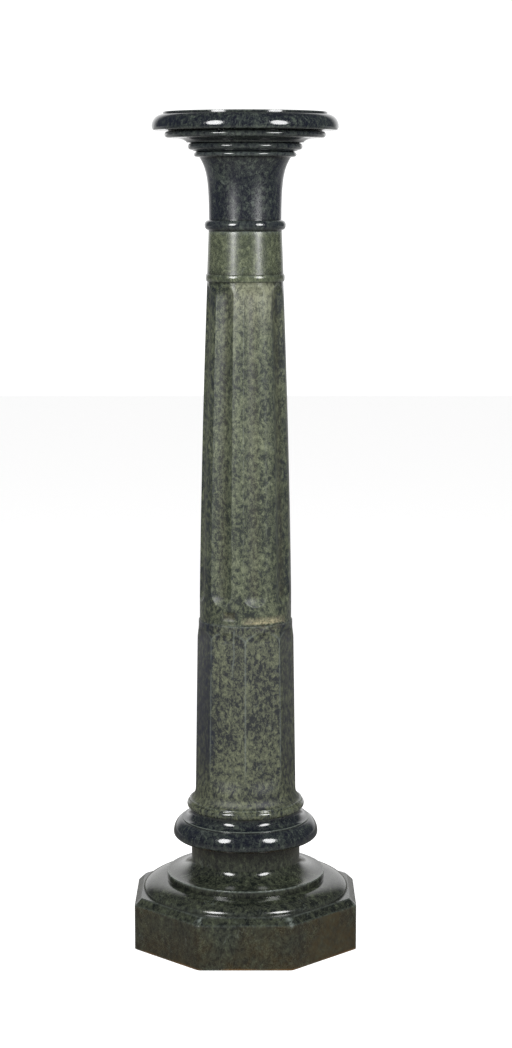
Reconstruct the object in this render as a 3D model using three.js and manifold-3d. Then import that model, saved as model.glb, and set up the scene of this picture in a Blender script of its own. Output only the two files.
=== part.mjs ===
// A turned and carved marble pedestal: a stack of six pieces of green serpentine, bedded face to face.
// Millimetres, +Z up. The origin is at the middle of the underside, and the front faces -Y.

import * as THREE from 'three';
import { mergeVertices } from 'three/addons/utils/BufferGeometryUtils.js';
import Module from 'manifold-3d';

// Bed joints, as heights above the floor
const PLINTH_BED = 135.5;
const TORUS_BED = 175;
const DRUM_BED = 424.5;
const SHAFT_BED = 922;
const CAPITAL_BED = 1047.8;
const HEIGHT = 1070.5;

// Octagonal block of the plinth
const BLOCK_SIDES = 8;
const BLOCK_APOTHEM = 143.4;
const BLOCK_TOP = 67;
const BLOCK_CHAMFER = 9;

// Round foot on the block: ovolo, lip, scotia and neck
const FOOT_RADIUS = 134;
const LIP_RADIUS = 103;
const LIP_FOOT = 81.5;
const LIP_TOP = 90;
const LIP_SLOPE = 8;
const NECK_RADIUS = 70.8;
const NECK_FOOT = 108;

// Moulding under the shaft: ovolo, fine fillet and hollow neck
const OVOLO_RADIUS = 94.2;
const OVOLO_DEPTH = 15;
const OVOLO_WIDEST = 142;
const OVOLO_RISE = 19.4;
const OVOLO_UNDERCUT = 9;
const OVOLO_FOOT_ANGLE = -30;
const OVOLO_TOP_ANGLE = 72;
const FINE_FILLET_RADIUS = 82.8;
const FINE_FILLET_FOOT = 160.5;
const FINE_FILLET_TOP = 162.1;
const HOLLOW_RADIUS = 71;
const HOLLOW_TOP_RADIUS = 81.5;
const HOLLOW_FOOT = 173;

// Foot of the lower drum: a thin round moulding and a flare
const ROUND_RADIUS = 76.3;
const ROUND_MIDDLE = 180;
const ROUND_DEPTH = 4;
const FLARE_FOOT_RADIUS = 74.6;
const FLARE_FOOT = 186.9;
const FLARE_TOP = 201.5;
const FLARE_SLOPE = 8;

// Lower drum and its panels
const DRUM_FOOT_RADIUS = 65.2;
const DRUM_ARRIS_RADIUS = 62.2;
const DRUM_EDGE_RADIUS = 60.6;
const PANEL_COUNT = 8;
const PANEL_DEPTH = 3.8;
const PANEL_FOOT = 202.5;
const PANEL_CROWN = 415;
const PANEL_ARCH = 13.5;
const PANEL_SCOOP = 11;

// Upper shaft: taper with a slight swelling, small ring and collar
const SHAFT_FOOT_RADIUS = 59.1;
const SHAFT_NECK_RADIUS = 48.5;
const SHAFT_SWELL = 0.43;
const SWELL_FOOT = 462.5;
const COLLAR_FOOT_RADIUS = 48.4;
const COLLAR_TOP_RADIUS = 46.4;
const SMALL_RING = { middle: 863.9, half: 4.7, radius: 50.2, depth: 1.8 };

// Flutes of the upper shaft, with plain lands between; the first is a little to the right of the front
const FLUTE_COUNT = 8;
const FLUTE_FIRST = THREE.MathUtils.degToRad(12.7);
const FLUTE_HALF_ANGLE = THREE.MathUtils.degToRad(15);
const FLUTE_DEPTH = 5.3;
const FLUTE_FOOT = 449.5;
const FLUTE_TOP = 855.5;
const FLUTE_RUNOUT = 14;

// Broken lower edge of the upper shaft, at the front and to the right
const CHIP_MIDDLE = THREE.MathUtils.degToRad(28);
const CHIP_HALF_ANGLE = THREE.MathUtils.degToRad(34);
const CHIP_HEIGHT = 13;
const CHIP_DEPTH = 3;

// Capital: ring, bell, two beads, cavetto, tier and the reveal under the slab
const RING = { middle: 929.8, half: 6.1, radius: 51.5, depth: 4.8 };
const BELL_NECK_RADIUS = 45.6;
const BELL_FLARE = 12;
const BELL_FADE = 17;
const BELL_TOP = 1014;
const LOW_BEAD = { middle: 1017.8, half: 3.1, radius: 64.8, depth: 4 };
const HIGH_BEAD = { middle: 1027.7, half: 4.3, radius: 72.4, depth: 5 };
const BEAD_GAP_RADIUS = 65;
const BEAD_GAP_MIDDLE = 1022.1;
const CAVETTO_FOOT = 1032.5;
const CAVETTO_FOOT_RADIUS = 74;
const CAVETTO_TOP_RADIUS = 96;
const CAVETTO_SLOPE = 5;
const TIER = { middle: 1042.4, half: 4.2, radius: 101.7, depth: 5 };
const REVEAL_RADIUS = 98;

// Top slab
const SLAB_RADIUS = 117.6;
const SLAB_FILLET_RADIUS = 103.5;
const SLAB_WIDEST = 1052.4;
const SLAB_UNDERCUT = 3;
const SLAB_FILLET_FOOT = 1067.5;
const SLAB_ARRIS = 1.2;

// Sides of the turned pieces: the upper shaft has nine to a flute and its land, the drum six to a panel
const TURNED_SIDES = 36;
const SHAFT_SIDES = 9 * FLUTE_COUNT;
const DRUM_SIDES = 6 * PANEL_COUNT;

const DARK_STONE = 0x2e3832;
const OLIVE_STONE = 0x5f6548;

const { clamp, lerp } = THREE.MathUtils;
const wasm = await Module();
wasm.setup();

// Points on an ellipse in the profile plane, from one angle to another in degrees; 0 points outward
function ellipse(centreRadius, centreHeight, across, upright, from, to, steps) {
  const points = [];
  for (let i = 0; i <= steps; i += 1) {
    const angle = THREE.MathUtils.degToRad(lerp(from, to, i / steps));
    const radius = centreRadius + across * Math.cos(angle);
    points.push([radius, centreHeight + upright * Math.sin(angle)]);
  }
  return points;
}

// Half-round bead, from its lower to its upper edge
function bead({ middle, half, radius, depth }, steps) {
  return ellipse(radius - depth, middle, depth, half, -90, 90, steps);
}

// Solid turned about Z from a profile that rises from the axis to the axis
function turned(profile, sides, turn = 0) {
  const points = profile.map(([radius, height]) => new THREE.Vector2(radius, height));
  const geometry = new THREE.LatheGeometry(points, sides, turn);
  geometry.rotateX(Math.PI / 2);
  return geometry;
}

// Cuts hollows into a turned piece: each vertex moves toward the axis by depthAt(angle, height).
// The angle is 0 at the front and grows to the right.
function hollowed(geometry, depthAt) {
  const position = geometry.attributes.position;
  for (let i = 0; i < position.count; i += 1) {
    const x = position.getX(i);
    const y = position.getY(i);
    const radius = Math.hypot(x, y);
    if (radius > 0) {
      const scale = 1 - depthAt(Math.atan2(x, -y), position.getZ(i)) / radius;
      position.setXY(i, x * scale, y * scale);
    }
  }
  geometry.computeVertexNormals();
  return geometry;
}

// Angle from the middle of the nearest of a number of equal hollows, the first one at a given angle
function angleFromMiddle(angle, count, first) {
  const pitch = (2 * Math.PI) / count;
  const turns = (angle - first) / pitch;
  return (turns - Math.round(turns)) * pitch;
}

// A geometry as a solid that can be joined to another
function toSolid(geometry) {
  const bare = geometry.clone();
  bare.deleteAttribute('normal');
  bare.deleteAttribute('uv');
  const merged = mergeVertices(bare, 1e-3);
  const vertProperties = new Float32Array(merged.attributes.position.array);
  const triVerts = new Uint32Array(merged.index.array);
  return new wasm.Manifold(new wasm.Mesh({ numProp: 3, vertProperties, triVerts }));
}

// A joined solid as a geometry
function toGeometry(solid) {
  const mesh = solid.getMesh();
  const geometry = new THREE.BufferGeometry();
  geometry.setAttribute('position', new THREE.BufferAttribute(mesh.vertProperties, 3));
  geometry.setIndex(new THREE.BufferAttribute(mesh.triVerts, 1));
  geometry.computeVertexNormals();
  return geometry;
}

// Octagonal block with a chamfered top edge, one face to the front
function blockGeometry() {
  const toCorner = 1 / Math.cos(Math.PI / BLOCK_SIDES);
  const corner = BLOCK_APOTHEM * toCorner;
  const topCorner = (BLOCK_APOTHEM - BLOCK_CHAMFER) * toCorner;
  const profile = [
    [0, 0],
    [corner, 0],
    [corner, BLOCK_TOP - BLOCK_CHAMFER],
    [topCorner, BLOCK_TOP],
    [0, BLOCK_TOP],
  ];
  return turned(profile, BLOCK_SIDES, Math.PI / BLOCK_SIDES);
}

// Round foot: a broad ovolo, a lip, a scotia and the neck; its root is sunk in the block
function footGeometry() {
  const root = BLOCK_TOP - BLOCK_CHAMFER;
  const scotiaReach = LIP_RADIUS - NECK_RADIUS;
  const profile = [
    [0, root],
    [FOOT_RADIUS - BLOCK_CHAMFER, root],
    ...ellipse(LIP_RADIUS, BLOCK_TOP, FOOT_RADIUS - LIP_RADIUS, LIP_FOOT - BLOCK_TOP, 0, 90, 5),
    [LIP_RADIUS, LIP_TOP],
    ...ellipse(LIP_RADIUS, NECK_FOOT, scotiaReach, NECK_FOOT - LIP_TOP, 270 - LIP_SLOPE, 180, 5),
    [NECK_RADIUS, PLINTH_BED],
    [0, PLINTH_BED],
  ];
  return turned(profile, TURNED_SIDES);
}

function plinthGeometry() {
  return toGeometry(toSolid(blockGeometry()).add(toSolid(footGeometry())));
}

// Broad ovolo with a rounded lower edge, a fine fillet and a hollow neck
function baseTorusGeometry() {
  const middle = OVOLO_RADIUS - OVOLO_DEPTH;
  const below = OVOLO_WIDEST - PLINTH_BED;
  const hollowReach = HOLLOW_TOP_RADIUS - HOLLOW_RADIUS;
  const hollowDrop = HOLLOW_FOOT - FINE_FILLET_TOP;
  const profile = [
    [0, PLINTH_BED],
    ...ellipse(OVOLO_RADIUS - OVOLO_UNDERCUT, OVOLO_WIDEST, OVOLO_UNDERCUT, below, -90, OVOLO_FOOT_ANGLE, 2),
    ...ellipse(middle, OVOLO_WIDEST, OVOLO_DEPTH, OVOLO_RISE, 0, OVOLO_TOP_ANGLE, 4),
    [FINE_FILLET_RADIUS, FINE_FILLET_FOOT],
    [FINE_FILLET_RADIUS, FINE_FILLET_TOP],
    ...ellipse(HOLLOW_TOP_RADIUS, HOLLOW_FOOT, hollowReach, hollowDrop, 270, 180, 3),
    [HOLLOW_RADIUS, TORUS_BED],
    [0, TORUS_BED],
  ];
  return turned(profile, TURNED_SIDES);
}

// Depth of a drum panel: hollow between sharp arrises, scooped out to an arch at its top
function panelDepth(angle, height) {
  const halfAngle = Math.PI / PANEL_COUNT;
  const across = Math.min(1, Math.abs(angleFromMiddle(angle, PANEL_COUNT, halfAngle)) / halfAngle);
  const archTop = PANEL_CROWN - PANEL_ARCH * (1 - Math.sqrt(1 - across * across));
  const scoop = clamp((archTop - height) / PANEL_SCOOP, 0, 1);
  const fade = THREE.MathUtils.smoothstep(height, PANEL_FOOT, PANEL_FOOT + 2 * PANEL_SCOOP);
  return PANEL_DEPTH * (1 - across * across) * Math.sqrt(scoop) * fade;
}

// Lower drum with hollow panels on a flared, rounded foot
function lowerShaftGeometry() {
  const round = {
    middle: ROUND_MIDDLE,
    half: ROUND_MIDDLE - TORUS_BED,
    radius: ROUND_RADIUS,
    depth: ROUND_DEPTH,
  };
  const flareReach = FLARE_FOOT_RADIUS - DRUM_FOOT_RADIUS;
  const flareRise = FLARE_TOP - FLARE_FOOT;
  const archFoot = PANEL_CROWN - PANEL_ARCH;
  const drumRadius = (height) => {
    const share = (height - FLARE_TOP) / (archFoot - FLARE_TOP);
    return lerp(DRUM_FOOT_RADIUS, DRUM_ARRIS_RADIUS, share);
  };
  const edgeRadius = (height) => {
    const share = (height - archFoot) / PANEL_ARCH;
    return lerp(DRUM_ARRIS_RADIUS, DRUM_EDGE_RADIUS, share);
  };
  const footRows = [0.5, 1, 2].map((share) => PANEL_FOOT + share * PANEL_SCOOP);
  const drumRows = [...footRows, archFoot - PANEL_SCOOP, archFoot];
  const archRows = [0.35, 0.7, 0.9].map((share) => archFoot + share * PANEL_ARCH);
  const profile = [
    [0, TORUS_BED],
    ...bead(round, 4).slice(0, -1),
    ...ellipse(FLARE_FOOT_RADIUS, FLARE_TOP, flareReach, flareRise, 270 - FLARE_SLOPE, 180, 3),
    ...drumRows.map((height) => [drumRadius(height), height]),
    ...archRows.map((height) => [edgeRadius(height), height]),
    [DRUM_EDGE_RADIUS, PANEL_CROWN],
    [DRUM_EDGE_RADIUS, DRUM_BED],
    [0, DRUM_BED],
  ];
  return hollowed(turned(profile, DRUM_SIDES), panelDepth);
}

// Depth of a flute, run out to a round end at its top and foot
function fluteDepth(angle, height) {
  const across = angleFromMiddle(angle, FLUTE_COUNT, FLUTE_FIRST) / FLUTE_HALF_ANGLE;
  const fromEnd = Math.min(FLUTE_TOP - height, height - FLUTE_FOOT) / FLUTE_RUNOUT;
  const short = clamp(1 - fromEnd, 0, 1);
  return FLUTE_DEPTH * Math.max(0, 1 - across * across - short * short);
}

// Depth of the broken lower edge
function chipDepth(angle, height) {
  const across = (angle - CHIP_MIDDLE) / CHIP_HALF_ANGLE;
  const up = clamp((height - DRUM_BED) / CHIP_HEIGHT, 0, 1);
  return CHIP_DEPTH * Math.max(0, 1 - across * across) * (1 - up);
}

// Fluted shaft with a slight swelling, a small ring and a plain collar
function upperShaftGeometry() {
  const radiusAt = (height) => {
    const share = clamp((FLUTE_TOP - height) / (FLUTE_TOP - SWELL_FOOT), 0, 1);
    const swell = share * (1 + SHAFT_SWELL) - share * share * SHAFT_SWELL;
    return lerp(SHAFT_NECK_RADIUS, SHAFT_FOOT_RADIUS, swell);
  };
  const footEnd = [0, 0.2, 0.5, 1].map((share) => FLUTE_FOOT + share * FLUTE_RUNOUT);
  const topEnd = [1, 0.5, 0.2, 0].map((share) => FLUTE_TOP - share * FLUTE_RUNOUT);
  const between = [0.33, 0.67].map((share) => lerp(footEnd.at(-1), topEnd[0], share));
  const rows = [DRUM_BED, DRUM_BED + CHIP_HEIGHT, ...footEnd, ...between, ...topEnd];
  const profile = [
    [0, DRUM_BED],
    ...rows.map((height) => [radiusAt(height), height]),
    ...bead(SMALL_RING, 4),
    [COLLAR_TOP_RADIUS, SHAFT_BED],
    [0, SHAFT_BED],
  ];
  const depthAt = (angle, height) => fluteDepth(angle, height) + chipDepth(angle, height);
  return hollowed(turned(profile, SHAFT_SIDES, FLUTE_FIRST), depthAt);
}

// Capital: ring, bell, two beads, cavetto, rounded tier and a narrow reveal under the slab
function capitalGeometry() {
  const bellFoot = RING.middle + RING.half;
  const bell = [0, 0.4, 0.65, 0.85, 1].map((share) => {
    const height = lerp(bellFoot, BELL_TOP, share);
    return [BELL_NECK_RADIUS + BELL_FLARE * Math.exp((height - BELL_TOP) / BELL_FADE), height];
  });
  const cavettoRise = TIER.middle - TIER.half - CAVETTO_FOOT;
  const cavettoReach = CAVETTO_TOP_RADIUS - CAVETTO_FOOT_RADIUS;
  const profile = [
    [0, SHAFT_BED],
    [COLLAR_TOP_RADIUS, SHAFT_BED],
    ...bead(RING, 4),
    ...bell,
    ...bead(LOW_BEAD, 3),
    [BEAD_GAP_RADIUS, BEAD_GAP_MIDDLE],
    ...bead(HIGH_BEAD, 4),
    ...ellipse(CAVETTO_TOP_RADIUS, CAVETTO_FOOT, cavettoReach, cavettoRise, 180, 90 + CAVETTO_SLOPE, 3),
    ...bead(TIER, 4),
    [REVEAL_RADIUS, CAPITAL_BED],
    [0, CAPITAL_BED],
  ];
  return turned(profile, TURNED_SIDES);
}

// Round top slab with an ovolo edge, rounded under at the bottom, and a small upper fillet
function topSlabGeometry() {
  const reach = SLAB_RADIUS - SLAB_FILLET_RADIUS;
  const rise = SLAB_FILLET_FOOT - SLAB_WIDEST;
  const below = SLAB_WIDEST - CAPITAL_BED;
  const profile = [
    [0, CAPITAL_BED],
    ...ellipse(SLAB_RADIUS - SLAB_UNDERCUT, SLAB_WIDEST, SLAB_UNDERCUT, below, -90, 0, 3),
    ...ellipse(SLAB_FILLET_RADIUS, SLAB_WIDEST, reach, rise, 0, 90, 5).slice(1),
    [SLAB_FILLET_RADIUS, HEIGHT - SLAB_ARRIS],
    [SLAB_FILLET_RADIUS - SLAB_ARRIS, HEIGHT],
    [0, HEIGHT],
  ];
  return turned(profile, TURNED_SIDES);
}

function piece(name, geometry, color, roughness) {
  const material = new THREE.MeshStandardMaterial({ color, roughness, metalness: 0 });
  const mesh = new THREE.Mesh(geometry, material);
  mesh.name = name;
  return mesh;
}

const pedestal = new THREE.Group();
pedestal.add(piece('plinth', plinthGeometry(), DARK_STONE, 0.2));
pedestal.add(piece('base_torus', baseTorusGeometry(), DARK_STONE, 0.15));
pedestal.add(piece('lower_shaft', lowerShaftGeometry(), OLIVE_STONE, 0.35));
pedestal.add(piece('upper_shaft', upperShaftGeometry(), OLIVE_STONE, 0.4));
pedestal.add(piece('capital', capitalGeometry(), DARK_STONE, 0.15));
pedestal.add(piece('top_slab', topSlabGeometry(), DARK_STONE, 0.15));

export default pedestal;
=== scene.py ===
import math

import bpy
import numpy as np
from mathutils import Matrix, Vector, noise


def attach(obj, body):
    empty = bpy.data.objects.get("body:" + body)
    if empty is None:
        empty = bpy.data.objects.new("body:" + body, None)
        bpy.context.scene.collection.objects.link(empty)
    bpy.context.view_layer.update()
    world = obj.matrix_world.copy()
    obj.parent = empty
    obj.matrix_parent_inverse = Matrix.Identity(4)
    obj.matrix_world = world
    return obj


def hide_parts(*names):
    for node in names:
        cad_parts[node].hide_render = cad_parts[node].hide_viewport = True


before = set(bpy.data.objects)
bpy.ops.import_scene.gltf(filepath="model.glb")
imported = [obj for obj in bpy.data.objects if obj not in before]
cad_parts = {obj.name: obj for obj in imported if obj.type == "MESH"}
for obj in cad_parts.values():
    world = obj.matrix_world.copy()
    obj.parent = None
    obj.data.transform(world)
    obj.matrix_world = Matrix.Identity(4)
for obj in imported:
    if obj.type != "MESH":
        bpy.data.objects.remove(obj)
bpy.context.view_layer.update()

# Sizes of the pedestal in millimetres, with the front toward -Y
PLINTH_BED = 135.5
TORUS_BED = 175.0
DRUM_BED = 424.5
SHAFT_BED = 922.0
CAPITAL_BED = 1047.8
HEIGHT = 1070.5

BLOCK_APOTHEM = 143.4
BLOCK_TOP = 67.0
BLOCK_CHAMFER = 9.0
BLOCK_ROUNDING = 170.0
FOOT_RADIUS = 134.0
LIP_RADIUS = 103.0
LIP_FOOT = 81.5
LIP_TOP = 90.0
NECK_RADIUS = 70.8
NECK_FOOT = 108.0

OVOLO_RADIUS = 94.2
OVOLO_DEPTH = 15.0
OVOLO_WIDEST = 142.0
OVOLO_RISE = 19.4
OVOLO_UNDERCUT = 9.0
FINE_FILLET_RADIUS = 82.8
FINE_FILLET_FOOT = 160.5
FINE_FILLET_TOP = 162.1
HOLLOW_RADIUS = 71.0
HOLLOW_TOP_RADIUS = 81.5
HOLLOW_FOOT = 173.0

ROUND_RADIUS = 76.3
ROUND_MIDDLE = 180.0
ROUND_DEPTH = 4.0
FLARE_FOOT_RADIUS = 74.6
FLARE_FOOT = 186.9
FLARE_TOP = 201.5
DRUM_FOOT_RADIUS = 65.2
DRUM_ARRIS_RADIUS = 62.2
DRUM_EDGE_RADIUS = 60.6
PANEL_COUNT = 8
PANEL_DEPTH = 3.8
PANEL_FOOT = 202.5
PANEL_CROWN = 415.0
PANEL_ARCH = 13.5
PANEL_SCOOP = 11.0

SHAFT_FOOT_RADIUS = 59.1
SHAFT_NECK_RADIUS = 48.5
SHAFT_SWELL = 0.43
SWELL_FOOT = 462.5
COLLAR_TOP_RADIUS = 46.4
SMALL_RING = (863.9, 4.7, 50.2, 1.8)
FLUTE_COUNT = 8
FLUTE_FIRST = math.radians(12.7)
FLUTE_HALF_ANGLE = math.radians(15)
FLUTE_DEPTH = 5.3
FLUTE_FOOT = 449.5
FLUTE_TOP = 855.5
FLUTE_RUNOUT = 14.0
CHIP_MIDDLE = math.radians(28)
CHIP_HALF_ANGLE = math.radians(34)
CHIP_HEIGHT = 13.0
CHIP_DEPTH = 3.0

RING = (929.8, 6.1, 51.5, 4.8)
BELL_NECK_RADIUS = 45.6
BELL_FLARE = 12.0
BELL_FADE = 17.0
BELL_TOP = 1014.0
LOW_BEAD = (1017.8, 3.1, 64.8, 4.0)
HIGH_BEAD = (1027.7, 4.3, 72.4, 5.0)
BEAD_GAP_RADIUS = 65.0
BEAD_GAP_MIDDLE = 1022.1
CAVETTO_FOOT = 1032.5
CAVETTO_FOOT_RADIUS = 74.0
CAVETTO_TOP_RADIUS = 96.0
TIER = (1042.4, 4.2, 101.7, 5.0)
REVEAL_RADIUS = 98.0

SLAB_RADIUS = 117.6
SLAB_FILLET_RADIUS = 103.5
SLAB_WIDEST = 1052.4
SLAB_UNDERCUT = 3.0
SLAB_FILLET_FOOT = 1067.5

# Where the stone is marked: heights in millimetres, angles from the front and to the right
PLINTH_REFLECTION_TOP = 52.0
PLINTH_SIDE_REFLECTION = math.radians(50)
BLUE_FROM = 0.5
BLUE_FULL = 1.15
BLUE_LEFT = (math.radians(36), math.radians(48))
BLUE_LEFT_END = math.radians(-120)
BLUE_RIGHT = (math.radians(40), math.radians(50))
BLUE_RIGHT_END = math.radians(110)
VEIN_ANGLE = math.radians(-14.5)
VEIN_MIDDLE = 395.0
VEIN_FOOT = (352, 372)
VEIN_TOP = (417, 421)
NICK_ANGLE = math.radians(-21)
NICK_HALF_ANGLE = math.radians(9)
NICK_MIDDLE = 437.0
NICK_HALF = 6.0
PALE_LEFT = (math.radians(-30), math.radians(-10))
PALE_RIGHT = (math.radians(40), math.radians(62))
SMALL_RING_FOOT = (858, 861)
SMALL_RING_TOP = (866, 869)
SHADED_MIDDLE = math.radians(-3)
SHADED = (math.radians(38), math.radians(50))

# Fineness of the meshes
EASE = 0.6
CORNER = math.radians(20)
STEP = 2.2
BED_STEP = 14.0
SHARP = math.radians(40)
MM = 0.001
MARKS = ("worn", "broken", "dirt", "rust", "honed", "navy", "pale", "even")


# Points on an ellipse in the profile plane; the angles are in degrees and 0 points outward
def ellipse(radius, height, across, upright, start, end, steps):
    angles = np.radians(np.linspace(start, end, steps + 1))
    return [(radius + across * math.cos(a), height + upright * math.sin(a)) for a in angles]


# Half-round bead, from its lower to its upper edge
def bead(sizes, steps=14):
    middle, half, radius, depth = sizes
    return ellipse(radius - depth, middle, depth, half, -90, 90, steps)


# Turn of a profile at each inner point, positive where the stone stands out
def turns(points):
    leg = np.diff(points, axis=0)
    way = np.arctan2(leg[:, 1], leg[:, 0])
    turn = np.diff(way)
    return (turn + math.pi) % (2 * math.pi) - math.pi


# Rounds each sharp corner of a profile over a short reach
def eased(profile):
    points = np.array([p for p, q in zip(profile, profile[1:] + [(-1, -1)]) if math.dist(p, q) > 0.05])
    turn = turns(points)
    soft = [points[0]]
    for i in range(1, len(points) - 1):
        corner = points[i]
        if abs(turn[i - 1]) < CORNER:
            soft.append(corner)
            continue
        lead = points[i - 1] - corner
        tail = points[i + 1] - corner
        lead *= min(EASE, 0.4 * np.linalg.norm(lead)) / np.linalg.norm(lead)
        tail *= min(EASE, 0.4 * np.linalg.norm(tail)) / np.linalg.norm(tail)
        for t in np.linspace(0, 1, 6):
            soft.append(corner + (1 - t) ** 2 * lead + t ** 2 * tail)
    soft.append(points[-1])
    return soft


# Adds points to a profile's long stretches; the bed faces get fewer
def resampled(points, step):
    fine = [points[0]]
    for a, b in zip(points, points[1:]):
        level = abs(a[1] - b[1]) < 1e-6
        parts = max(1, math.ceil(math.dist(a, b) / (BED_STEP if level else step)))
        fine += [a + (b - a) * (k + 1) / parts for k in range(parts)]
    return np.array(fine)


# How close each point of a profile is to a standing corner, and to a re-entrant one
def corner_marks(points, reach=1.1):
    turn = np.concatenate([[0], turns(points), [0]])
    run = np.concatenate([[0], np.cumsum(np.linalg.norm(np.diff(points, axis=0), axis=1))])
    near = np.exp(-(((run[:, None] - run[None, :]) / reach) ** 2))
    edge = near @ np.where(turn > 0.1, turn, 0)
    # Nearness to a re-entrant corner, used as painted shade in creases
    cavity = near @ np.where(turn < -0.1, -turn, 0)
    return np.clip(edge, 0, 1), np.clip(cavity, 0, 1)


# Soft noise between about -1 and 1 at points in millimetres
def grain(x, y, z, size, seed):
    shape = np.shape(x)
    shift = Vector((seed * 17.3, seed * 5.1, seed * 9.7))
    spots = zip(np.ravel(x) / size, np.ravel(y) / size, np.ravel(z) / size)
    return np.array([noise.noise(Vector(p) + shift) for p in spots]).reshape(shape)


# Smooth step from 0 at low to 1 at high
def smooth(value, low, high):
    t = np.clip((value - low) / (high - low), 0, 1)
    return t * t * (3 - 2 * t)


# Angle from the middle of the nearest of a number of equal hollows
def from_middle(angle, count, first):
    pitch = 2 * math.pi / count
    share = (angle - first) / pitch
    return (share - np.round(share)) * pitch


# Closed mesh turned about Z from a profile that rises from the axis to the axis.
# relief(angle, radius, height, marks) may change the radius and fill in the marks.
def turned(name, profile, sides, first=0.0, relief=None, step=STEP):
    points = resampled(eased(profile), step)
    edge, cavity = corner_marks(points)
    rings = points[1:-1]
    columns = first + 2 * math.pi * np.arange(sides) / sides
    angle, radius = np.meshgrid(columns, rings[:, 0])
    height = np.repeat(rings[:, 1:2], sides, axis=1)
    angle = (angle + math.pi) % (2 * math.pi) - math.pi
    marks = {key: np.zeros_like(radius) for key in MARKS}
    marks["edge"] = np.repeat(edge[1:-1, None], sides, axis=1)
    # Painted shade in the profile's creases
    marks["cavity"] = np.repeat(cavity[1:-1, None], sides, axis=1)
    if relief:
        radius = relief(angle, radius, height, marks)
    spots = np.stack([radius * np.sin(angle), -radius * np.cos(angle), height], axis=-1).reshape(-1, 3)
    poles = [(0, 0, points[0, 1]), (0, 0, points[-1, 1])]
    spots = np.vstack([spots, poles]) * MM
    rows = len(rings)
    here = np.arange(sides)
    after = (here + 1) % sides
    faces = []
    for i in range(rows - 1):
        low, high = i * sides, (i + 1) * sides
        faces += np.stack([low + here, low + after, high + after, high + here], axis=1).tolist()
    foot, top = rows * sides, rows * sides + 1
    last = (rows - 1) * sides
    faces += [(foot, int(b), int(a)) for a, b in zip(here, after)]
    faces += [(last + int(a), last + int(b), top) for a, b in zip(here, after)]
    mesh = bpy.data.meshes.new(name)
    mesh.from_pydata(spots.tolist(), [], faces)
    mesh.shade_smooth()
    mesh.set_sharp_from_angle(angle=SHARP)
    for key, values in marks.items():
        layer = mesh.attributes.new(key, "FLOAT", "POINT")
        layer.data.foreach_set("value", np.concatenate([values.ravel(), [0, 0]]).astype(np.float32))
    piece = bpy.data.objects.new(name, mesh)
    bpy.context.scene.collection.objects.link(piece)
    return piece


# Painted reflection of a brown floor on the block's faces and the neck's sides, painted shadow on the
# neck under the ovolo, an orange-brown line along the floor, and pale edges
def plinth_stains_and_painted_light(x, y, height, radius, angle, on_block, on_rim, marks):
    fine = grain(x, y, height, 2.6, 4)
    cloud = grain(x, y, height, 34.0, 5)
    # Painted reflection of a brown floor on the block's faces, patchy, strongest low down and on the
    # right
    low = 1 - smooth(height, 4, PLINTH_REFLECTION_TOP)
    right = 0.8 * np.exp(-((angle - PLINTH_SIDE_REFLECTION) / 0.5) ** 2)
    left = 0.3 * np.exp(-((angle + PLINTH_SIDE_REFLECTION) / 0.5) ** 2)
    face = on_block * (height < BLOCK_TOP - BLOCK_CHAMFER)
    marks["dirt"] += face * np.clip(0.1 + 0.3 * low + right + left + 0.6 * cloud, 0, 1)
    scuffed = smooth(fine, -0.8, 0.2)
    top_edge = smooth(height, BLOCK_TOP - 0.9, BLOCK_TOP - 0.3)
    marks["worn"] += 0.35 * (on_block | on_rim) * top_edge * scuffed
    # Painted shadow on the neck just under the ovolo
    shaded = smooth(height, PLINTH_BED - 9, PLINTH_BED - 2)
    marks["cavity"] += 0.8 * shaded * (radius > NECK_RADIUS - 1)
    # An orange-brown line along the bottom edge
    marks["rust"] += 0.55 * on_block * (1 - smooth(height, 1.2, 2.8)) * smooth(cloud, -0.5, 0.2)
    lip = np.exp(-(((height - LIP_TOP) / 0.9) ** 2)) * (np.abs(radius - LIP_RADIUS) < 1.5)
    marks["worn"] += 0.5 * lip * scuffed
    # Painted reflection of the brown floor on the neck's sides
    neck = smooth(height, NECK_FOOT + 4, PLINTH_BED - 2)
    marks["dirt"] += 0.5 * neck * smooth(np.abs(angle), 0.5, 1.2)


# Octagonal block under the round foot: the rings of the block follow the octagon
def plinth_relief(angle, radius, height, marks):
    faces = [np.maximum(np.cos(angle - k * math.pi / 4), 0) ** BLOCK_ROUNDING for k in range(8)]
    octagon = 1 / np.sum(faces, axis=0) ** (1 / BLOCK_ROUNDING)
    block = height < BLOCK_TOP - 0.01
    rim = (np.abs(height - BLOCK_TOP) <= 0.01) & (radius > FOOT_RADIUS + 0.05)
    shaped = np.where(block | rim, radius * octagon, radius)
    corner = np.abs(from_middle(angle, 8, math.pi / 8)) * BLOCK_APOTHEM
    x, y = shaped * np.sin(angle), -shaped * np.cos(angle)
    patch = grain(x, y, height, 9.0, 3)
    fine = grain(x, y, height, 2.6, 4)
    arris = block * np.exp(-((corner / 1.5) ** 2))
    shoulder = smooth(height, BLOCK_TOP - BLOCK_CHAMFER - 5, BLOCK_TOP - BLOCK_CHAMFER)
    near_corner = np.exp(-((corner / 4.5) ** 2))
    chip = block * near_corner * shoulder * smooth(patch + 0.5 * fine, 0.0, 0.55)
    front = np.cos(angle) > 0.8
    chip *= np.where(front, 1.0, 0.5)
    marks["worn"] += 0.7 * arris * shoulder * smooth(fine, -0.5, 0.4) + 0.8 * chip
    plinth_stains_and_painted_light(x, y, height, radius, angle, block, rim, marks)
    return shaped - 1.1 * chip


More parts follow.
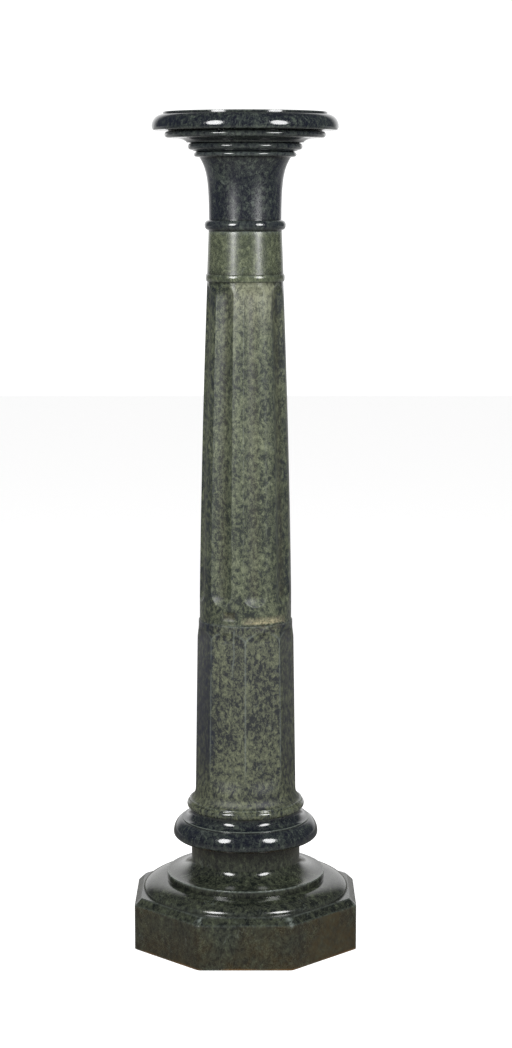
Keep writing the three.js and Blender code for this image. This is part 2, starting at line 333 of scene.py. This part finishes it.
def plinth():
    root = BLOCK_TOP - BLOCK_CHAMFER
    profile = [
        (0, 0),
        (BLOCK_APOTHEM, 0),
        (BLOCK_APOTHEM, root),
        (BLOCK_APOTHEM - BLOCK_CHAMFER, BLOCK_TOP),
        *ellipse(LIP_RADIUS, BLOCK_TOP, FOOT_RADIUS - LIP_RADIUS, LIP_FOOT - BLOCK_TOP, 0, 90, 24),
        (LIP_RADIUS, LIP_TOP),
        *ellipse(LIP_RADIUS, NECK_FOOT, LIP_RADIUS - NECK_RADIUS, NECK_FOOT - LIP_TOP, 262, 180, 24),
        (NECK_RADIUS, PLINTH_BED),
        (0, PLINTH_BED),
    ]
    return turned("plinth_stone", profile, 576, relief=plinth_relief)


# Painted shade, bluer, toward both sides
def shade_sides(angle, radius, height, marks):
    marks["navy"] += 0.55 * smooth(np.abs(angle), BLUE_FROM, BLUE_FULL)
    return radius


# Darker brown and a brown line under the ovolo, a pale line on the fine fillet, and painted shade,
# bluer, toward both sides
def torus_relief(angle, radius, height, marks):
    x, y = radius * np.sin(angle), -radius * np.cos(angle)
    # Darker brown and an orange-brown band on the ovolo's underside
    under = 1 - smooth(height, PLINTH_BED + 0.5, PLINTH_BED + 4.5)
    marks["dirt"] += under * (0.4 + 0.3 * grain(x, y, height, 14.0, 6))
    marks["rust"] += 0.3 * under * smooth(grain(x, y, height, 20.0, 16), -0.4, 0.4)
    rim = np.exp(-(((height - FINE_FILLET_TOP) / 0.8) ** 2)) * (radius > FINE_FILLET_RADIUS - 1.5)
    marks["worn"] += 0.45 * rim
    return shade_sides(angle, radius, height, marks)


def base_torus():
    middle = OVOLO_RADIUS - OVOLO_DEPTH
    below = OVOLO_WIDEST - PLINTH_BED
    reach = HOLLOW_TOP_RADIUS - HOLLOW_RADIUS
    profile = [
        (0, PLINTH_BED),
        *ellipse(OVOLO_RADIUS - OVOLO_UNDERCUT, OVOLO_WIDEST, OVOLO_UNDERCUT, below, -90, -5, 14),
        *ellipse(middle, OVOLO_WIDEST, OVOLO_DEPTH, OVOLO_RISE, 0, 72, 18),
        (FINE_FILLET_RADIUS, FINE_FILLET_FOOT),
        (FINE_FILLET_RADIUS, FINE_FILLET_TOP),
        *ellipse(HOLLOW_TOP_RADIUS, HOLLOW_FOOT, reach, HOLLOW_FOOT - FINE_FILLET_TOP, 270, 180, 10),
        (HOLLOW_RADIUS, TORUS_BED),
        (0, TORUS_BED),
    ]
    return turned("base_torus_stone", profile, 288, relief=torus_relief, step=1.6)


# Pale worn lines up the arrises between the panels and round the arches
def arris_lines(across, arch_top, radius, height, x, y, marks):
    side = (1 - across) * math.pi / PANEL_COUNT * radius
    upright = np.exp(-((side / 0.9) ** 2)) * smooth(height, PANEL_FOOT + 4, PANEL_FOOT + 60)
    upright *= 1 - smooth(height, PANEL_CROWN - 12, PANEL_CROWN - 4)
    rim = np.exp(-(((height - arch_top) / 1.2) ** 2)) * smooth(across, 0.2, 0.7)
    broken_line = smooth(grain(x, y, height, 16.0, 7), -0.75, 0.1)
    upright *= 0.6 * (0.2 + 0.8 * broken_line)
    rim *= 0.65 * (0.5 + 0.5 * broken_line)
    marks["worn"] += np.clip(upright + rim, 0, 1)


# Dull panels, with painted shade, bluer, and better polish toward both sides, and one pale vein near the
# front
def drum_figure(angle, radius, height, x, y, marks):
    marks["honed"] += smooth(height, FLARE_FOOT - 1, FLARE_FOOT + 3)
    drift = 0.25 * grain(x, y, height, 40.0, 14)
    left = smooth(-angle + drift, *BLUE_LEFT) * (angle > BLUE_LEFT_END)
    right = 0.6 * smooth(angle + drift, *BLUE_RIGHT) * (angle < BLUE_RIGHT_END)
    # Painted shade, bluer, toward both sides, stronger on the left
    marks["navy"] += 0.95 * (left + right) * smooth(height, FLARE_TOP, FLARE_TOP + 70)
    marks["honed"] *= 1 - 0.4 * marks["navy"]
    vein_angle = VEIN_ANGLE + 0.012 * np.sin(height / 6.0) + 0.03 * (height - VEIN_MIDDLE) / 60
    vein = np.exp(-((angle - vein_angle) * radius / 0.9) ** 2)
    marks["worn"] += 0.55 * vein * smooth(height, *VEIN_FOOT) * (1 - smooth(height, *VEIN_TOP))


# Depth lost along the drum's upper edge, most of it under the break in the shaft, with painted shade in
# the spall
def drum_edge_loss(angle, radius, height, x, y, marks):
    outer = radius > DRUM_EDGE_RADIUS - 2
    edge = np.exp(-(((height - DRUM_BED) / 1.6) ** 2)) * outer
    ragged = smooth(grain(x, y, height, 7.0, 8), 0.0, 0.5)
    away = (angle - CHIP_MIDDLE) / CHIP_HALF_ANGLE
    spall = np.clip(1 - away ** 2, 0, 1) * np.exp(-(((height - DRUM_BED) / 4.5) ** 2))
    spall *= outer * smooth(grain(x, y, height, 10.0, 9), -0.4, 0.3)
    # Painted shade in the spall's hollow
    marks["dirt"] += 0.9 * spall
    return 0.5 * edge * ragged + 2.0 * spall


# Hollow panels between sharp arrises, scooped out to an arch at the top
def drum_relief(angle, radius, height, marks):
    half = math.pi / PANEL_COUNT
    across = np.clip(np.abs(from_middle(angle, PANEL_COUNT, half)) / half, 0, 1)
    arch_top = PANEL_CROWN - PANEL_ARCH * (1 - np.sqrt(1 - across ** 2))
    scoop = np.clip((arch_top - height) / PANEL_SCOOP, 0, 1)
    fade = smooth(height, PANEL_FOOT, PANEL_FOOT + 2 * PANEL_SCOOP)
    depth = PANEL_DEPTH * (1 - across ** 2) * np.sqrt(scoop) * fade
    x, y = radius * np.sin(angle), -radius * np.cos(angle)
    arris_lines(across, arch_top, radius, height, x, y, marks)
    drum_figure(angle, radius, height, x, y, marks)
    return radius - depth - drum_edge_loss(angle, radius, height, x, y, marks)


def lower_shaft():
    arch_foot = PANEL_CROWN - PANEL_ARCH
    reach = FLARE_FOOT_RADIUS - DRUM_FOOT_RADIUS
    moulding = (ROUND_MIDDLE, ROUND_MIDDLE - TORUS_BED, ROUND_RADIUS, ROUND_DEPTH)
    profile = [
        (0, TORUS_BED),
        *bead(moulding)[:-2],
        *ellipse(FLARE_FOOT_RADIUS, FLARE_TOP, reach, FLARE_TOP - FLARE_FOOT, 262, 180, 12),
        (DRUM_ARRIS_RADIUS, arch_foot),
        (DRUM_EDGE_RADIUS, PANEL_CROWN),
        (DRUM_EDGE_RADIUS, DRUM_BED),
        (0, DRUM_BED),
    ]
    return turned("lower_shaft_stone", profile, 400, relief=drum_relief, step=1.6)


# Depth lost along the shaft's lower edge: the long break, the nick to its left and small chips; the nick
# is painted darker
def shaft_edge_loss(angle, radius, height, x, y, marks):
    low = height < FLUTE_FOOT
    outer = radius > SHAFT_FOOT_RADIUS - 3
    away = np.clip(1 - ((angle - CHIP_MIDDLE) / CHIP_HALF_ANGLE) ** 2, 0, 1)
    up = np.clip((height - DRUM_BED) / CHIP_HEIGHT, 0, 1)
    rough = grain(x, y, height, 6.0, 11) + 0.5 * grain(x, y, height, 2.2, 12)
    ragged = np.clip(away * (1 - up) * (1.0 + 0.6 * rough), 0, 1.3) * low * outer
    nick_across = np.abs(angle - NICK_ANGLE) / NICK_HALF_ANGLE
    nick_up = np.abs(height - NICK_MIDDLE) / NICK_HALF
    nick = np.clip(1.6 - 1.6 * np.maximum(nick_across, nick_up), 0, 1) * low * outer
    small = smooth(grain(x, y, height, 5.0, 13), 0.25, 0.6) * outer
    small *= np.exp(-(((height - DRUM_BED) / 3) ** 2))
    raw = 1.6 * ragged * smooth(height, DRUM_BED + 1, DRUM_BED + 4)
    marks["broken"] += np.clip(raw + 0.5 * small, 0, 1)
    # The nick is painted darker
    marks["dirt"] += 0.8 * nick
    return CHIP_DEPTH * ragged + 1.6 * nick + 0.8 * small


# Dull flutes, a pale ground below the small ring, an even collar above it and painted shade, bluer, at
# the sides
def shaft_figure(angle, height, bowl, x, y, marks):
    marks["honed"] += 1 - smooth(height, FLUTE_TOP - 22, FLUTE_TOP + 1)
    marks["honed"] += np.maximum(0, 1 - bowl) * smooth(height, FLUTE_TOP - 22, FLUTE_TOP - 10)
    marks["honed"] += 0.3 * smooth(height, *SMALL_RING_TOP)
    collar = smooth(height, *SMALL_RING_FOOT)
    marks["even"] += 0.45 * collar
    facing = smooth(angle, *PALE_LEFT) * (1 - smooth(angle, *PALE_RIGHT))
    marks["pale"] += facing * smooth(height, FLUTE_TOP - 70, FLUTE_TOP - 6) * (1 - collar)
    # Painted shade, bluer, at the sides
    sides = smooth(np.abs(angle - SHADED_MIDDLE), *SHADED) * (height < SMALL_RING_FOOT[1] - 1)
    marks["navy"] += 0.55 * sides * smooth(grain(x, y, height, 30.0, 15), -0.6, 0.4)


# Flutes with round ends, worn along their edges, with painted shade deepest in each flute
def shaft_relief(angle, radius, height, marks):
    across = from_middle(angle, FLUTE_COUNT, FLUTE_FIRST) / FLUTE_HALF_ANGLE
    short = np.clip(1 - np.minimum(FLUTE_TOP - height, height - FLUTE_FOOT) / FLUTE_RUNOUT, 0, 2)
    bowl = across ** 2 + short ** 2
    depth = FLUTE_DEPTH * np.maximum(0, 1 - bowl)
    x, y = radius * np.sin(angle), -radius * np.cos(angle)
    lip = np.exp(-(((bowl - 1) / 0.09) ** 2)) * (height < FLUTE_TOP + 2) * (height > FLUTE_FOOT - 2)
    marks["worn"] += 0.3 * lip * smooth(grain(x, y, height, 12.0, 10), -0.3, 0.5)
    # Painted shade in the deepest part of each flute
    marks["dirt"] += 0.25 * np.maximum(0, 1 - 2.5 * bowl)
    shaft_figure(angle, height, bowl, x, y, marks)
    return radius - depth - shaft_edge_loss(angle, radius, height, x, y, marks)


def upper_shaft():
    def radius_at(height):
        share = min(1, max(0, (FLUTE_TOP - height) / (FLUTE_TOP - SWELL_FOOT)))
        swell = share * (1 + SHAFT_SWELL) - share * share * SHAFT_SWELL
        return SHAFT_NECK_RADIUS + (SHAFT_FOOT_RADIUS - SHAFT_NECK_RADIUS) * swell

    fine_foot = np.arange(DRUM_BED, FLUTE_FOOT + FLUTE_RUNOUT, 1.1)
    shank = np.arange(FLUTE_FOOT + FLUTE_RUNOUT, FLUTE_TOP - FLUTE_RUNOUT, 4.5)
    fine_top = np.arange(FLUTE_TOP - FLUTE_RUNOUT, FLUTE_TOP, 1.1)
    profile = [
        (0, DRUM_BED),
        *[(radius_at(z), z) for z in np.concatenate([fine_foot, shank, fine_top])],
        *bead(SMALL_RING),
        (COLLAR_TOP_RADIUS, SHAFT_BED),
        (0, SHAFT_BED),
    ]
    return turned("upper_shaft_stone", profile, 432, FLUTE_FIRST, shaft_relief, step=4.6)


# The bell is duller than the mouldings; painted shade, bluer, toward both sides
def capital_relief(angle, radius, height, marks):
    bell = smooth(height, RING[0] + 5, RING[0] + 8) * (1 - smooth(height, BELL_TOP - 6, BELL_TOP))
    marks["honed"] += 0.8 * bell
    return shade_sides(angle, radius, height, marks)


def capital():
    bell_foot = RING[0] + RING[1]
    levels = np.linspace(bell_foot, BELL_TOP, 40)
    bell = [(BELL_NECK_RADIUS + BELL_FLARE * math.exp((z - BELL_TOP) / BELL_FADE), z) for z in levels]
    reach = CAVETTO_TOP_RADIUS - CAVETTO_FOOT_RADIUS
    rise = TIER[0] - TIER[1] - CAVETTO_FOOT
    profile = [
        (0, SHAFT_BED),
        (COLLAR_TOP_RADIUS, SHAFT_BED),
        *bead(RING),
        *bell,
        *bead(LOW_BEAD),
        (BEAD_GAP_RADIUS, BEAD_GAP_MIDDLE),
        *bead(HIGH_BEAD),
        *ellipse(CAVETTO_TOP_RADIUS, CAVETTO_FOOT, reach, rise, 180, 95, 14),
        *bead(TIER),
        (REVEAL_RADIUS, CAPITAL_BED),
        (0, CAPITAL_BED),
    ]
    return turned("capital_stone", profile, 288, relief=capital_relief)


def top_slab():
    reach = SLAB_RADIUS - SLAB_FILLET_RADIUS
    below = SLAB_WIDEST - CAPITAL_BED
    profile = [
        (0, CAPITAL_BED),
        *ellipse(SLAB_RADIUS - SLAB_UNDERCUT, SLAB_WIDEST, SLAB_UNDERCUT, below, -90, -4, 12),
        *ellipse(SLAB_FILLET_RADIUS, SLAB_WIDEST, reach, SLAB_FILLET_FOOT - SLAB_WIDEST, 0, 90, 24),
        (SLAB_FILLET_RADIUS, HEIGHT),
        (0, HEIGHT),
    ]
    # Painted shade, bluer, toward both sides
    return turned("top_slab_stone", profile, 288, relief=shade_sides)


# Short hand for building a node material
class Nodes:
    def __init__(self, name):
        self.material = bpy.data.materials.new(name)
        self.material.use_nodes = True
        self.tree = self.material.node_tree
        self.shader = self.tree.nodes["Principled BSDF"]

    def add(self, kind, inputs=None, **settings):
        node = self.tree.nodes.new("ShaderNode" + kind)
        for key, value in settings.items():
            setattr(node, key, value)
        for key, value in (inputs or {}).items():
            self.feed(node.inputs[key], value)
        return node

    def feed(self, socket, value):
        if isinstance(value, bpy.types.NodeSocket):
            self.tree.links.new(value, socket)
        else:
            socket.default_value = value

    def math(self, operation, a, b=0.0):
        return self.add("Math", {0: a, 1: b}, operation=operation).outputs[0]

    def plus(self, a, b):
        return self.math("ADD", a, b)

    def times(self, a, b):
        return self.math("MULTIPLY", a, b)

    def range(self, value, low, high, to_low=0.0, to_high=1.0):
        inputs = {"Value": value, "From Min": low, "From Max": high, "To Min": to_low, "To Max": to_high}
        return self.add("MapRange", inputs, interpolation_type="SMOOTHSTEP").outputs[0]

    def noise(self, place, scale, detail=3.0, roughness=0.55):
        inputs = {"Vector": place, "Scale": scale, "Detail": detail, "Roughness": roughness}
        return self.add("TexNoise", inputs).outputs["Fac"]

    def mix(self, share, a, b):
        node = self.add("Mix", data_type="RGBA")
        for socket, value in zip((node.inputs[0], node.inputs[6], node.inputs[7]), (share, a, b)):
            self.feed(socket, value)
        return node.outputs[2]

    def mark(self, name):
        return self.add("Attribute", attribute_name=name).outputs["Fac"]


def colour(red, green, blue):
    channel = [c / 255 for c in (red, green, blue)]
    return (*[c / 12.92 if c < 0.04 else ((c + 0.055) / 1.055) ** 2.4 for c in channel], 1.0)


# Blue of the painted shade at the sides
SIDE_SHADE_BLUE = colour(24, 30, 48)
PALE_GROUND = colour(142, 144, 122)
PALE_WEAR = colour(112, 120, 114)
FRESH_BREAK = colour(176, 168, 136)
# Brown of dirt, painted shade and painted reflection
BROWN_DIRT_SHADE_REFLECTION = colour(66, 52, 20)
ORANGE_BROWN = colour(146, 104, 56)
# Dark of the painted shade in creases and under the ovolo
PAINTED_SHADE_TONE = colour(18, 18, 16)


# Colour of the stone: a ground with dark grains and pale flecks, drifting tone, painted shade, bluer,
# toward the sides and thin pale threads
def stone_figure(n, place, bent, field, tones, size, dark_share):
    ground, dark, light = tones
    dark_mask = n.range(field, dark_share - 0.06, dark_share + 0.045, 1.0, 0.0)
    light_mask = n.range(field, 0.52, 0.64)
    body = n.mix(light_mask, ground, light)
    calm = n.math("SUBTRACT", 1.0, n.mark("even"))
    body = n.mix(n.times(dark_mask, calm), body, dark)
    pale = n.times(n.mark("pale"), n.range(field, 0.36, 0.6, 0.2, 0.75))
    body = n.mix(pale, body, PALE_GROUND)
    # Painted shade, bluer, toward the sides
    navy = n.times(n.mark("navy"), n.range(field, 0.4, 0.62, 0.9, 0.35))
    body = n.mix(navy, body, SIDE_SHADE_BLUE)
    vein = n.noise(bent, 0.16 / size, 5.0, 0.55)
    thread = n.range(n.math("ABSOLUTE", n.math("SUBTRACT", vein, 0.5)), 0.0, 0.012, 1.0, 0.0)
    sparse = n.range(n.noise(place, 0.2 / size, 2.0), 0.52, 0.68, 0.0, 0.35)
    return n.mix(n.times(thread, sparse), body, PALE_WEAR)


# Wear, painted shade in creases, dirt with painted shade and painted reflection, an orange-brown line
# and fresh breaks over the stone's colour
def aged(n, place, body):
    scuff = n.range(n.noise(place, 240.0, 3.0), 0.3, 0.62)
    edge = n.times(n.mark("edge"), n.times(scuff, 0.4))
    worn = n.math("MINIMUM", n.plus(edge, n.mark("worn")), 0.9)
    body = n.mix(worn, body, PALE_WEAR)
    # Painted shade in creases and under the ovolo
    body = n.mix(n.times(n.mark("cavity"), 0.55), body, PAINTED_SHADE_TONE)
    # Brown of dirt, painted shade and painted reflection, patchy
    patchy = n.range(n.noise(place, 130.0, 4.0), 0.25, 0.7, 0.25, 0.7)
    body = n.mix(n.times(n.mark("dirt"), patchy), body, BROWN_DIRT_SHADE_REFLECTION)
    body = n.mix(n.mark("rust"), body, ORANGE_BROWN)
    crumb = n.range(n.noise(place, 420.0, 3.0), 0.35, 0.6, 0.35, 1.0)
    return n.mix(n.times(n.mark("broken"), crumb), body, FRESH_BREAK)


# Polish, dulled where the stone is broken, honed or worn, and under the brown mark of dirt, painted
# shade and painted reflection
def polish(n, speck, gloss, matt):
    rough = n.range(speck, 0.3, 0.7, gloss, gloss + 0.1)
    for mark, more in {"broken": 0.5, "dirt": 0.2, "honed": matt, "worn": 0.2}.items():
        rough = n.plus(rough, n.times(n.mark(mark), more))
    return n.math("MINIMUM", rough, 1.0)


# Fine pits and a slow wave in the surface
def surface(n, place):
    pits = {"Height": n.noise(place, 620.0, 3.0), "Strength": 0.03, "Distance": 0.0004}
    pitted = n.add("Bump", pits).outputs[0]
    wave = {"Height": n.noise(place, 26.0, 2.0), "Strength": 0.05, "Distance": 0.002, "Normal": pitted}
    return n.add("Bump", wave).outputs[0]


# Mottled serpentine with grains of the given size in metres
def serpentine(name, tones, size, seed, dark_share, gloss, matt=0.22):
    n = Nodes(name)
    coords = n.add("TexCoord").outputs["Object"]
    shift = (seed * 0.37, seed * 0.61, seed * 0.23)
    place = n.add("Mapping", {"Vector": coords, "Location": shift}).outputs[0]
    stretch = n.add("Mapping", {"Vector": place, "Scale": (1.0, 1.0, 0.72)}).outputs[0]
    swirl = n.add("TexNoise", {"Vector": stretch, "Scale": 0.45 / size, "Detail": 2.0}).outputs["Color"]
    bend = n.add("VectorMath", {0: swirl, "Scale": size * 1.6}, operation="SCALE").outputs[0]
    bent = n.add("VectorMath", {0: stretch, 1: bend}, operation="ADD").outputs[0]
    blotch = n.noise(bent, 0.9 / size, 4.0, 0.62)
    speck = n.noise(bent, 3.0 / size, 3.0, 0.6)
    drift = n.range(n.noise(place, 0.09 / size, 3.0), 0.3, 0.7, -0.035, 0.035)
    field = n.plus(n.plus(n.times(blotch, 0.6), n.times(speck, 0.4)), drift)
    body = stone_figure(n, place, bent, field, tones, size, dark_share)
    n.feed(n.shader.inputs["Base Color"], aged(n, place, body))
    n.feed(n.shader.inputs["Roughness"], polish(n, speck, gloss, matt))
    n.feed(n.shader.inputs["Normal"], surface(n, place))
    n.shader.inputs["IOR"].default_value = 1.54
    return n.material


def dress(piece, material, node):
    piece.data.materials.append(material)
    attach(piece, "root")
    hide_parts(node)


# Ground, dark grains and pale flecks of each stone
PLINTH_TONES = (colour(49, 53, 44), colour(22, 26, 24), colour(74, 80, 64))
DARK_GREEN = (colour(43, 48, 48), colour(20, 23, 32), colour(72, 79, 72))
DRUM_TONES = (colour(80, 84, 68), colour(26, 30, 34), colour(110, 115, 90))
SHAFT_TONES = (colour(80, 86, 68), colour(34, 40, 37), colour(112, 118, 94))

plinth_stone = serpentine("plinth_serpentine", PLINTH_TONES, 0.0058, 1, 0.47, 0.1)
torus_stone = serpentine("torus_serpentine", DARK_GREEN, 0.0045, 2, 0.48, 0.07)
drum_stone = serpentine("drum_serpentine", DRUM_TONES, 0.0044, 3, 0.485, 0.08, 0.42)
shaft_stone = serpentine("shaft_serpentine", SHAFT_TONES, 0.0040, 4, 0.485, 0.15, 0.26)
capital_stone = serpentine("capital_serpentine", DARK_GREEN, 0.0045, 5, 0.49, 0.07)
slab_stone = serpentine("slab_serpentine", DARK_GREEN, 0.0045, 6, 0.49, 0.07)

dress(plinth(), plinth_stone, "plinth")
dress(base_torus(), torus_stone, "base_torus")
dress(lower_shaft(), drum_stone, "lower_shaft")
dress(upper_shaft(), shaft_stone, "upper_shaft")
dress(capital(), capital_stone, "capital")
dress(top_slab(), slab_stone, "top_slab")


# Pale floor; what the stone mirrors of it is warmer and darker than what is seen
def floor():
    size = 8.0
    mesh = bpy.data.meshes.new("floor")
    corners = [(-size, -size, 0), (size, -size, 0), (size, size, 0), (-size, size, 0)]
    mesh.from_pydata([(x, y, -0.0003) for x, y, z in corners], [], [(0, 1, 2, 3)])
    plane = bpy.data.objects.new("floor", mesh)
    bpy.context.scene.collection.objects.link(plane)
    n = Nodes("floor_paint")
    seen = n.add("LightPath").outputs["Is Camera Ray"]
    n.feed(n.shader.inputs["Base Color"], n.mix(seen, (0.30, 0.29, 0.27, 1), (0.86, 0.86, 0.86, 1)))
    n.shader.inputs["Roughness"].default_value = 0.9
    n.shader.inputs["Emission Color"].default_value = (1, 1, 1, 1)
    ground = n.add("SeparateXYZ", {0: n.add("TexCoord").outputs["Object"]}).outputs["Y"]
    behind = n.range(ground, 0.6, 2.4, 0.0, 0.5)
    glow = n.math("MAXIMUM", n.times(seen, 0.8), behind)
    n.feed(n.shader.inputs["Emission Strength"], glow)
    plane.data.materials.append(n.material)


# White room: bright behind the pedestal, dim elsewhere
def room():
    world = bpy.data.worlds.new("room")
    bpy.context.scene.world = world
    world.use_nodes = True
    tree = world.node_tree
    back = tree.nodes["Background"]
    coords = tree.nodes.new("ShaderNodeTexCoord")
    split = tree.nodes.new("ShaderNodeSeparateXYZ")
    tree.links.new(coords.outputs["Generated"], split.inputs[0])
    ramp = tree.nodes.new("ShaderNodeMapRange")
    ramp.interpolation_type = "SMOOTHSTEP"
    for key, value in {"From Min": 0.72, "From Max": 0.93, "To Min": 0.1, "To Max": 1.2}.items():
        ramp.inputs[key].default_value = value
    tree.links.new(split.outputs["Y"], ramp.inputs["Value"])
    path = tree.nodes.new("ShaderNodeLightPath")
    seen = tree.nodes.new("ShaderNodeMath")
    seen.operation = "MAXIMUM"
    tree.links.new(ramp.outputs[0], seen.inputs[0])
    tree.links.new(path.outputs["Is Camera Ray"], seen.inputs[1])
    tree.links.new(seen.outputs[0], back.inputs["Strength"])
    back.inputs["Color"].default_value = (1, 1, 1, 1)


# Tall soft box that stands beside the camera; the azimuth is from the front, to the right
def soft_box(name, azimuth, width, power):
    distance, middle, tall = 2.1, 1.55, 1.3
    light = bpy.data.lights.new(name, "AREA")
    light.shape = "ELLIPSE"
    light.size = width
    light.size_y = tall
    light.energy = power
    lamp = bpy.data.objects.new(name, light)
    bpy.context.scene.collection.objects.link(lamp)
    turn = math.radians(azimuth)
    lamp.location = (distance * math.sin(turn), -distance * math.cos(turn), middle)
    aim = Vector((0, 0, 0.75)) - lamp.location
    lamp.rotation_euler = aim.to_track_quat("-Z", "Y").to_euler()


# Camera at the photograph's viewing angle: slightly to the right of the axis and tipped down
def camera():
    data = bpy.data.cameras.new("camera")
    data.sensor_width = 36
    data.lens = 79
    eye = bpy.data.objects.new("camera", data)
    bpy.context.scene.collection.objects.link(eye)
    eye.location = (0.0136, -2.93, 0.9755)
    eye.rotation_euler = (math.radians(90 - 8.3), 0, 0)
    bpy.context.scene.camera = eye


floor()
room()
soft_box("soft_box_left", -37, 0.74, 46)
soft_box("soft_box_right", 42, 0.78, 46)
camera()
bpy.context.scene.view_settings.view_transform = "Standard"
